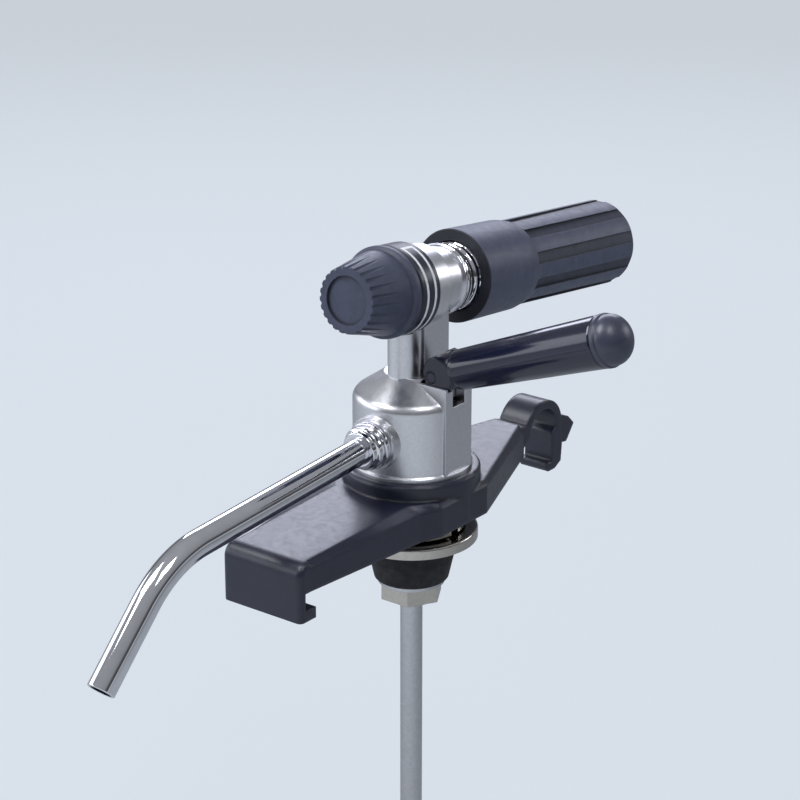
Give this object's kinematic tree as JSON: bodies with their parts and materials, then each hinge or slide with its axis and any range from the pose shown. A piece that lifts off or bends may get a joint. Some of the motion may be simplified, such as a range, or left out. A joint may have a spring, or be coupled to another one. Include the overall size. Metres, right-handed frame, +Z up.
{
  "type": "mini keg tap",
  "caption": "Party keg tap: clamp bridge, chromed valve body with side lever, bent spout, pressure knob, gas cartridge sleeve and dip tube.",
  "frame": {"origin": "centre of the sealing flange's underside, where the tap stands on the keg, on the axis of the bung and the dip tube", "axes": "+Z up out of the keg, -Y to the spout and the pressure knob, +X to the lever"},
  "size_m": [0.1125, 0.2789, 0.3239],
  "materials": {
    "chrome_casting": "cast, chrome plated, satin to bright",
    "chrome_tube": "polished chrome",
    "nickel": "turned brass, nickel plated",
    "brass": "turned brass",
    "stainless": "stainless steel, satin",
    "bare_steel": "drawn steel, zinc plated",
    "black_pin": "steel pin, blackened",
    "black_moulding": "moulded, satin",
    "dark_plastic": "moulded, satin blue-black",
    "dial_black": "moulded, satin, printed white wedge scale",
    "gloss_black": "moulded, glossy",
    "black_rubber": "food-safe rubber, matt"
  },
  "bodies": {
    "tap": {"tap_body": "chrome_casting", "bridge": "black_moulding", "lock_nut": "nickel", "seal_carrier": "nickel", "bung_seal": "black_rubber", "bung_washer": "stainless", "bung_nut": "nickel", "dip_tube": "stainless", "dip_tube_ring": "black_rubber", "spout_tube": "chrome_tube", "spout_nut": "chrome_tube", "spout_seal": "black_rubber", "valve_seat": "brass", "valve_spring": "stainless", "valve_gland": "brass", "stem_ring": "black_rubber", "dial_ring": "dial_black", "regulator_bonnet": "brass", "diaphragm": "black_rubber", "diaphragm_plate": "brass", "regulator_spring": "stainless", "piercing_stub": "chrome_tube", "piercing_needle": "stainless", "cartridge_gasket": "black_rubber"},
    "stem": {"valve_stem": "stainless", "valve_plug": "black_rubber"},
    "lever": {"lever_handle": "gloss_black", "lever_end_cap": "gloss_black", "lever_pin": "black_pin"},
    "knob": {"regulator_knob": "dark_plastic"},
    "spindle": {"adjusting_spindle": "stainless", "spring_plate": "brass"},
    "cartridge": {"gas_cartridge": "bare_steel"},
    "sleeve": {"cartridge_sleeve": "dark_plastic"}
  },
  "joints": [
    {"name": "stem_lift", "type": "slide", "parent": "tap", "child": "stem", "axis": [0, 0, 1], "range_m": [0, 0.0021], "deforming": ["valve_spring"]},
    {"name": "lever_press", "type": "hinge", "parent": "stem", "child": "lever", "pos_m": [0.0128, 0, 0.0631], "axis": [0, 1, 0], "range_deg": [0, 22], "stiffness_Nm_per_rad": 0.15, "springref_deg": -34.38},
    {"name": "knob_turn", "type": "hinge", "parent": "tap", "child": "knob", "pos_m": [0, 0, 0.0922], "axis": [0, -0.9943, 0.1063], "range_deg": [-300, 0]},
    {"name": "spindle_feed", "type": "slide", "parent": "knob", "child": "spindle", "axis": [0, -0.9943, 0.1063], "range_m": [-0.0013, 0], "deforming": ["regulator_spring"]},
    {"name": "cartridge_draw", "type": "slide", "parent": "tap", "child": "cartridge", "axis": [0, 0.9943, -0.1063], "range_m": [0, 0.0126]},
    {"name": "sleeve_turn", "type": "hinge", "parent": "cartridge", "child": "sleeve", "pos_m": [0, 0, 0.0922], "axis": [0, 0.9943, -0.1063], "range_deg": [0, 2250]}
  ],
  "couplings": [
    {"joint": "stem_lift", "follows": "lever_press", "m_per_rad": 0.0052},
    {"joint": "spindle_feed", "follows": "knob_turn", "m_per_rad": 0.00023873},
    {"joint": "cartridge_draw", "follows": "sleeve_turn", "m_per_rad": 0.00031831}
  ]
}
